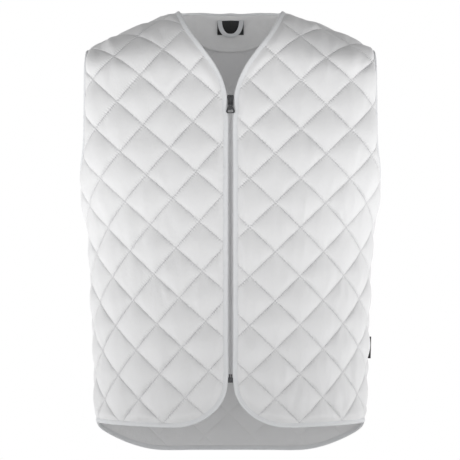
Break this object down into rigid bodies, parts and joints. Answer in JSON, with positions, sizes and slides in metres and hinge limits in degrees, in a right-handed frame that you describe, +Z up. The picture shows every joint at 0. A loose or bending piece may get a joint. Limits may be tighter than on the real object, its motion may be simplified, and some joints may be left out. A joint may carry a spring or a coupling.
{
  "type": "thermal work vest",
  "caption": "Sleeveless V-neck work vest of diamond-quilted padded cloth with bound edges, a separating front zip, a longer rounded tail and a hanger loop.",
  "frame": {"origin": "midway between the two neck points of the shoulder seams, in the middle of the wall, where the worn vest hangs on the shoulders", "axes": "+Z up along the body, -Y to the front of the vest, +X to the wearer's left"},
  "size_m": [0.5265, 0.249, 0.7824],
  "materials": {
    "quilted_cloth": "satin-faced quilted polyester, white",
    "edge_tape": "folded white binding tape",
    "facing_cloth": "plain white facing cloth",
    "loop_tape": "ribbed tape, pale grey",
    "zip_tape": "twill zip tape, pale grey",
    "zip_chain": "grey nylon coil",
    "dark_metal": "dark enamel, worn to metal on the bridge",
    "black_weave": "black satin-woven label"
  },
  "bodies": {
    "vest": {"front_panel_left": "quilted_cloth", "front_panel_right": "quilted_cloth", "back_panel": "quilted_cloth", "binding_front_left": "edge_tape", "binding_front_right": "edge_tape", "binding_neck_back": "edge_tape", "binding_hem_back": "edge_tape", "binding_armhole_left": "edge_tape", "binding_armhole_right": "edge_tape", "back_facing": "facing_cloth", "hanger_loop": "loop_tape", "neck_label": "black_weave", "side_tag": "black_weave", "zip_tape_left": "zip_tape", "zip_tape_right": "zip_tape", "zip_chain_left": "zip_chain", "zip_chain_right": "zip_chain", "zip_slider": "dark_metal", "zip_box": "dark_metal", "zip_pin": "dark_metal"},
    "pull": {"zip_pull": "dark_metal"}
  },
  "joints": [
    {"name": "pull_hinge", "type": "hinge", "parent": "vest", "child": "pull", "pos_m": [0, -0.11443, -0.16331], "axis": [-1, 0, 0], "range_deg": [0, 120]}
  ]
}
